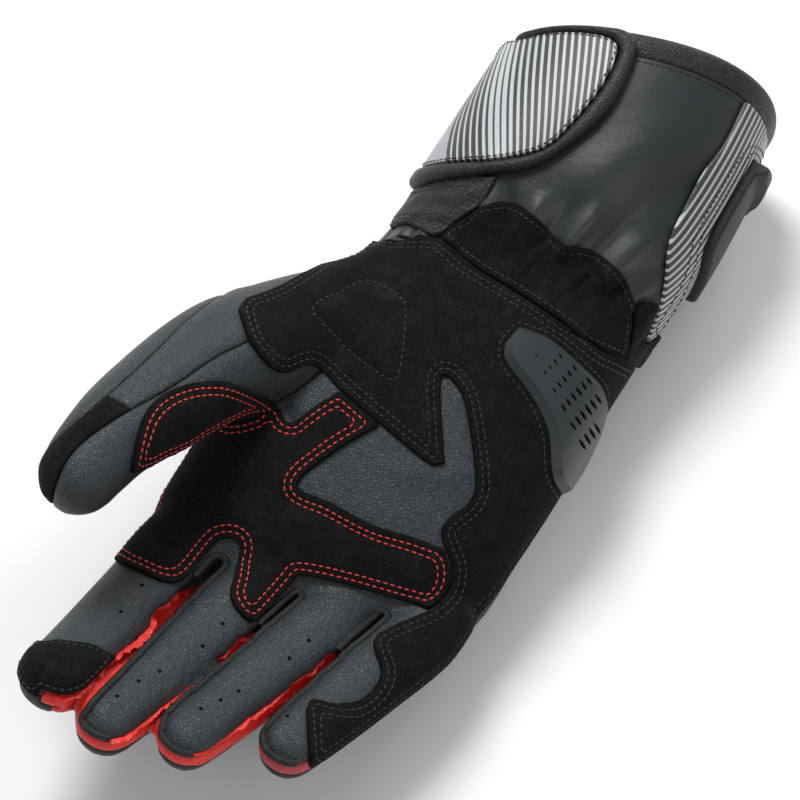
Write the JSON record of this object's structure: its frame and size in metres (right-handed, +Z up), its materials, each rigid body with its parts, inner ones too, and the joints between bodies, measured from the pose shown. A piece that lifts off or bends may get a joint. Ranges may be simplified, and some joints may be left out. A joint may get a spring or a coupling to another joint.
{
  "type": "motorcycle glove",
  "caption": "Right-hand gauntlet motorcycle glove lying palm up, with suede palm patches, a slotted palm slider, a striped closing flap and a cuff guard.",
  "frame": {"origin": "middle of the bottom of the bounding box, on the surface that the back of the glove rests on", "axes": "+Z up, out of the palm; +Y along the cuff, out of its mouth, with the fingers towards -Y; the thumb is on the -X side"},
  "size_m": [0.1424, 0.2994, 0.0906],
  "materials": {
    "grey_leather": "dark grey full-grain leather",
    "black_leather": "black full-grain leather",
    "red_leather": "red leather",
    "pale_red_leather": "faded red leather",
    "black_suede": "matte black suede",
    "soft_black_fabric": "soft black napped fabric",
    "grey_plastic": "dark grey satin moulded plastic",
    "cuff_leather": "smooth dark grey leather",
    "binding_leather": "black leather binding",
    "striped_fabric": "coated fabric with dark and white stripes",
    "black_plastic": "black matte moulded plastic"
  },
  "bodies": {
    "root": {"palm_leather": "grey_leather", "back_leather": "black_leather", "gusset_index": "red_leather", "gusset_middle": "red_leather", "gusset_ring": "red_leather", "gusset_pinky": "pale_red_leather", "thumb_inner": "grey_leather", "thumb_side": "grey_leather", "thumb_back": "grey_leather", "thumb_tip_strip": "black_suede", "index_tip_patch": "black_suede", "grip_patch": "black_suede", "heel_patch": "black_suede", "wrist_panel": "black_suede", "wrist_gusset": "soft_black_fabric", "palm_slider": "grey_plastic", "cuff_leather": "cuff_leather", "cuff_binding": "binding_leather", "closure_flap": "striped_fabric", "flap_binding": "binding_leather", "wrist_strap": "black_leather", "cuff_side_panel": "striped_fabric", "cuff_guard": "black_plastic"}
  },
  "joints": []
}
